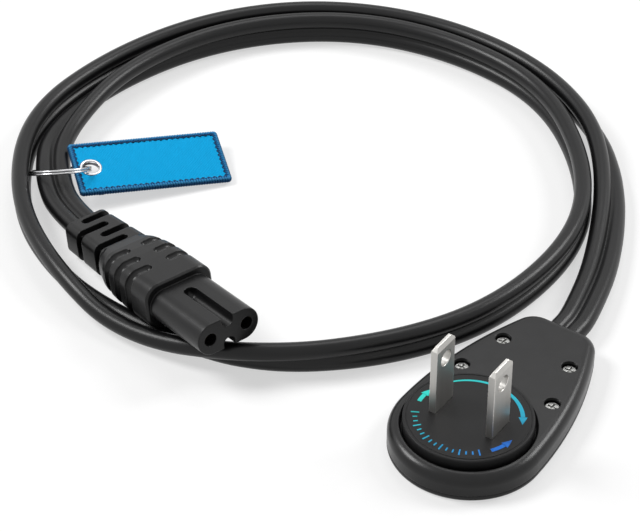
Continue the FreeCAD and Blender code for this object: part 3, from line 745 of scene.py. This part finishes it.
def cloth(name, colour, pitch, roughness):
    """Plain weave: threads of a pitch pass over and under each other, with painted shade where they
    dip and lighter crowns.
    """
    made, nodes, links, shader, place = new_material(name, cloth_specular)
    shader.inputs["Roughness"].default_value = roughness
    shader.inputs["Sheen Weight"].default_value = cloth_sheen
    over = nodes.new("ShaderNodeTexChecker")
    over.inputs["Scale"].default_value = 1 / pitch
    links.new(place.outputs["UV"], over.inputs["Vector"])
    weave = nodes.new("ShaderNodeMix")
    links.new(over.outputs["Fac"], weave.inputs["Factor"])
    for direction, socket in (("X", "A"), ("Y", "B")):
        wave = nodes.new("ShaderNodeTexWave")
        wave.bands_direction = direction
        wave.inputs["Scale"].default_value = wave_bands / pitch
        wave.inputs["Distortion"].default_value = weave_waver
        links.new(place.outputs["UV"], wave.inputs["Vector"])
        links.new(wave.outputs["Fac"], weave.inputs[socket])
    # Painted shade: each thread is darker where it dips under its neighbours and lighter on its crown
    tint = ramp(nodes, links, weave.outputs["Result"], [
        (0.0, [c * weave_painted_shade for c in colour]),
        (1.0, colour),
    ])
    links.new(tint, shader.inputs["Base Color"])
    bumped(nodes, links, shader, weave.outputs["Result"], weave_bump, weave_depth)
    return made


def wrapped_thread(name, stops, wrap, roughness):
    """Thread whose colour runs through the stops over the length of one wrap round an edge: painted
    highlight where it crowns the faces, painted shade round the outer edge.
    """
    made, nodes, links, shader, place = new_material(name, thread_specular)
    shader.inputs["Roughness"].default_value = roughness
    split = nodes.new("ShaderNodeSeparateXYZ")
    links.new(place.outputs["UV"], split.inputs[0])
    share = nodes.new("ShaderNodeMapRange")
    share.inputs["From Max"].default_value = wrap
    links.new(split.outputs["X"], share.inputs["Value"])
    links.new(ramp(nodes, links, share.outputs["Result"], stops), shader.inputs["Base Color"])
    vector = stretched(nodes, links, place.outputs["UV"], thread_twist)
    fibre = noise(nodes, links, vector, thread_grain, grain_detail)
    bumped(nodes, links, shader, fibre, thread_bump, grain_depth)
    return made


def graded_ink(name, stops):
    """Ink whose colour runs through the stops along the print's own shade coordinate."""
    made, nodes, links, shader, place = new_material(name, ink_specular)
    split = nodes.new("ShaderNodeSeparateXYZ")
    links.new(place.outputs["UV"], split.inputs[0])
    links.new(ramp(nodes, links, split.outputs["X"], stops), shader.inputs["Base Color"])
    speck = noise(nodes, links, place.outputs["Object"], ink_grain, grain_detail)
    links.new(between(nodes, links, speck, *ink_roughness), shader.inputs["Roughness"])
    return made


black = (0.0065, 0.0065, 0.0068)
disc_black = (0.0075, 0.0075, 0.0078)
cord_black = (0.005, 0.005, 0.0053)
carrier_black = (0.012, 0.012, 0.012)
screw_grey = (0.34, 0.34, 0.33)
blade_grey = (0.46, 0.45, 0.43)
collar_grey = (0.55, 0.55, 0.54)
chrome_grey = (0.52, 0.52, 0.53)
brass = (0.72, 0.50, 0.20)
copper = (0.80, 0.36, 0.20)
nylon = (0.62, 0.60, 0.54)
cloth_blue = (0.002, 0.43, 0.86)
# Border thread blues: mid_blue is its own colour; the lighter one is a painted highlight and the
# darkest a painted shade
highlight_blue = (0.035, 0.26, 0.50)
mid_blue = (0.010, 0.16, 0.40)
outer_edge_shade_blue = (0.003, 0.060, 0.17)
navy = (0.003, 0.045, 0.125)
ink_green = (0.020, 0.60, 0.53)
ink_teal = (0.010, 0.36, 0.60)
ink_blue = (0.010, 0.15, 0.60)
drawn = (1, 1, 0.03)
extruded = (0.08, 2.0, 1)
cloth_pitch = 0.32 * mm
stitch_run = sum(math.dist(a, b) for a, b in zip(stitch_loop, stitch_loop[1:])) * mm

# One finish for each material slot of the record: colour, its spread, roughness, grain and bump
finishes = {
    "housing_plastic": material(
        "black_housing", black, 0.15, 0.30, 4000, 0.3, specular=0.32, edge=0.25 * mm),
    "disc_plastic": material(
        "black_disc", disc_black, 0.15, 0.48, 4000, 0.35, specular=0.2, edge=0.15 * mm),
    "connector_plastic": material(
        "black_connector", black, 0.15, 0.32, 3500, 0.35, specular=0.28, edge=0.3 * mm),
    "carrier_plastic": material("black_carrier", carrier_black, 0.15, 0.45, 3000, 0.3),
    "cord_sheath": material(
        "black_sheath", cord_black, 0.20, 0.32, 1200, 0.15, specular=0.28, stretch=extruded, uv=True),
    "screw_steel": material(
        "plated_screw", screw_grey, 0.15, 0.38, 2500, 0.4, metallic=1.0, edge=0.1 * mm),
    "nickel_blade": material(
        "nickel_plate", blade_grey, 0.08, 0.38, 6000, 0.3, metallic=1.0, stretch=drawn, edge=0.2 * mm),
    "contact_brass": material("brass_strip", brass, 0.10, 0.30, 2500, 0.2, metallic=1.0),
    "copper_lead": material("copper_wire", copper, 0.10, 0.35, 2500, 0.3, metallic=1.0),
    "collar_metal": material("collar_steel", collar_grey, 0.10, 0.35, 2500, 0.2, metallic=1.0),
    "ring_steel": material("ring_chrome", chrome_grey, 0.10, 0.20, 1500, 0.15, metallic=1.0),
    "washer_nylon": material("natural_nylon", nylon, 0.06, 0.45, 2500, 0.2),
    "tag_cloth": cloth("blue_cloth", cloth_blue, cloth_pitch, 0.85),
    # Painted light on the border thread: lighter where each wrap crowns a face, darker round the tag's
    # outer edge
    "tag_edge_thread": wrapped_thread("blue_thread_painted_light", [
        (0.00, mid_blue), (0.08, mid_blue), (0.20, highlight_blue), (0.36, outer_edge_shade_blue),
        (0.64, outer_edge_shade_blue), (0.80, highlight_blue), (0.92, mid_blue), (1.00, mid_blue),
    ], stitch_run, 0.6),
}
navy_thread = material(
    "navy_thread", navy, 0.30, 0.6, thread_grain, thread_bump, specular=thread_specular,
    stretch=thread_twist, uv=True)
ink = graded_ink("graded_ink", [(0.0, ink_green), (0.5, ink_teal), (1.0, ink_blue)])

for piece, finish in (
    (cord, finishes["cord_sheath"]),
    (ring, finishes["ring_steel"]),
    (field, finishes["tag_cloth"]),
    (border, finishes["tag_edge_thread"]),
    (chain, navy_thread),
    (eyelet, finishes["ring_steel"]),
    (disc_print, ink),
):
    piece.data.materials.append(finish)
for part in frame["record"]["subparts"]:
    for slot in frame["nodes"][part["node"]].material_slots:
        slot.material = finishes[part["material_slot"]]

# Floor and background
floor = mesh_object(
    "floor",
    [(-floor_reach, -floor_reach, 0), (floor_reach, -floor_reach, 0),
     (floor_reach, floor_reach, 0), (-floor_reach, floor_reach, 0)],
    [(0, 1, 2, 3)],
    ROOT,
    smooth=False,
)


def seen_rays(tree):
    """One for the rays that show the background: from the camera, off gloss and through glass."""
    path = tree.nodes.new("ShaderNodeLightPath")
    seen = path.outputs["Is Camera Ray"]
    for ray in ("Is Glossy Ray", "Is Transmission Ray"):
        either = tree.nodes.new("ShaderNodeMath")
        either.operation = "MAXIMUM"
        tree.links.new(seen, either.inputs[0])
        tree.links.new(path.outputs[ray], either.inputs[1])
        seen = either.outputs[0]
    return seen


floor_paint = bpy.data.materials.new("white_floor")
floor_paint.use_nodes = True
tree = floor_paint.node_tree
tree.nodes.clear()
matt = tree.nodes.new("ShaderNodeBsdfDiffuse")
matt.inputs["Color"].default_value = (floor_tone, floor_tone, floor_tone, 1.0)
glow = tree.nodes.new("ShaderNodeEmission")
glow_level = between(tree.nodes, tree.links, seen_rays(tree), 0.0, floor_glow)
tree.links.new(glow_level, glow.inputs["Strength"])
both = tree.nodes.new("ShaderNodeAddShader")
tree.links.new(matt.outputs[0], both.inputs[0])
tree.links.new(glow.outputs[0], both.inputs[1])
out = tree.nodes.new("ShaderNodeOutputMaterial")
tree.links.new(both.outputs[0], out.inputs["Surface"])
floor.data.materials.append(floor_paint)

world = bpy.data.worlds.new("studio")
bpy.context.scene.world = world
world.use_nodes = True
tree = world.node_tree
background = tree.nodes["Background"]
background.inputs["Color"].default_value = (1.0, 1.0, 1.0, 1.0)
world_level = between(tree.nodes, tree.links, seen_rays(tree), ambient, 1.0)
tree.links.new(world_level, background.inputs["Strength"])


# Lights
def softbox(name, place, width, height, power):
    """A rectangular lamp that faces the object."""
    light = bpy.data.lights.new(name, "AREA")
    light.shape = "RECTANGLE"
    light.size = width
    light.size_y = height
    light.energy = power
    lamp = bpy.data.objects.new(name, light)
    bpy.context.scene.collection.objects.link(lamp)
    lamp.location = place
    lamp.rotation_euler = (light_aim - Vector(place)).to_track_quat("-Z", "Y").to_euler()


softbox("left_softbox", (-0.21, 0.615, 0.66), width=0.35, height=0.30, power=5.4)
softbox("right_softbox", (0.62, -0.33, 0.57), width=0.35, height=0.30, power=3.6)
softbox("back_softbox", (0.48, 0.22, 0.88), width=0.50, height=0.40, power=2.1)
